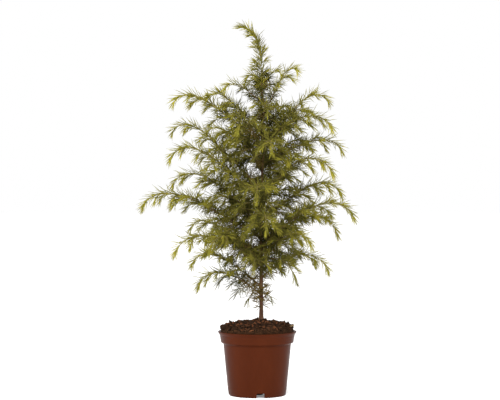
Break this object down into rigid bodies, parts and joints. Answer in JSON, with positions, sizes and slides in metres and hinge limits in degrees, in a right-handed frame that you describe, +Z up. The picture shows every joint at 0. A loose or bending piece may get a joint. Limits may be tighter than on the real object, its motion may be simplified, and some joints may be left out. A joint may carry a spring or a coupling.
{
  "type": "potted deodar cedar tree",
  "caption": "Young deodar cedar with a slim trunk, arching boughs with nodding tips, soft needle sprays and a leaning leader, in a round brown nursery pot heaped with compost.",
  "frame": {"origin": "middle of the pot's flat underside, on the ground", "axes": "+Z up along the trunk, -Y towards the viewer of the picture, +X to the viewer's right"},
  "size_m": [0.5322, 0.4138, 0.9039],
  "materials": {
    "pot_plastic": "satin red-brown moulded plastic",
    "compost": "loose dark bark and peat",
    "bark": "thin young bark, tan to red-brown",
    "needles": "olive to grey-green needles"
  },
  "bodies": {
    "root": {"bough_back_4": "bark", "bough_back_5": "bark", "bough_left_3": "bark", "bough_left_4": "bark", "bough_left_5": "bark", "bough_left_6": "bark", "bough_left_7": "bark", "bough_left_9": "bark", "bough_right_6": "bark", "bough_right_7": "bark", "bough_right_8": "bark", "bough_right_9": "bark", "compost": "compost", "foliage_back_1": "needles", "foliage_back_2": "needles", "foliage_back_3": "needles", "foliage_back_4": "needles", "foliage_back_5": "needles", "foliage_back_6": "needles", "foliage_front_1": "needles", "foliage_front_2": "needles", "foliage_front_3": "needles", "foliage_front_4": "needles", "foliage_front_5": "needles", "foliage_front_6": "needles", "foliage_front_7": "needles", "foliage_inner_1": "needles", "foliage_inner_2": "needles", "foliage_inner_3": "needles", "foliage_inner_4": "needles", "foliage_leader": "needles", "foliage_left_0": "needles", "foliage_left_1": "needles", "foliage_left_10": "needles", "foliage_left_11": "needles", "foliage_left_12": "needles", "foliage_left_13": "needles", "foliage_left_2": "needles", "foliage_left_3": "needles", "foliage_left_4": "needles", "foliage_left_5": "needles", "foliage_left_6": "needles", "foliage_left_7": "needles", "foliage_left_8": "needles", "foliage_left_9": "needles", "foliage_right_1": "needles", "foliage_right_10": "needles", "foliage_right_11": "needles", "foliage_right_12": "needles", "foliage_right_2": "needles", "foliage_right_3": "needles", "foliage_right_4": "needles", "foliage_right_5": "needles", "foliage_right_6": "needles", "foliage_right_7": "needles", "foliage_right_8": "needles", "foliage_right_9": "needles", "pot": "pot_plastic", "trunk": "bark"}
  },
  "joints": []
}
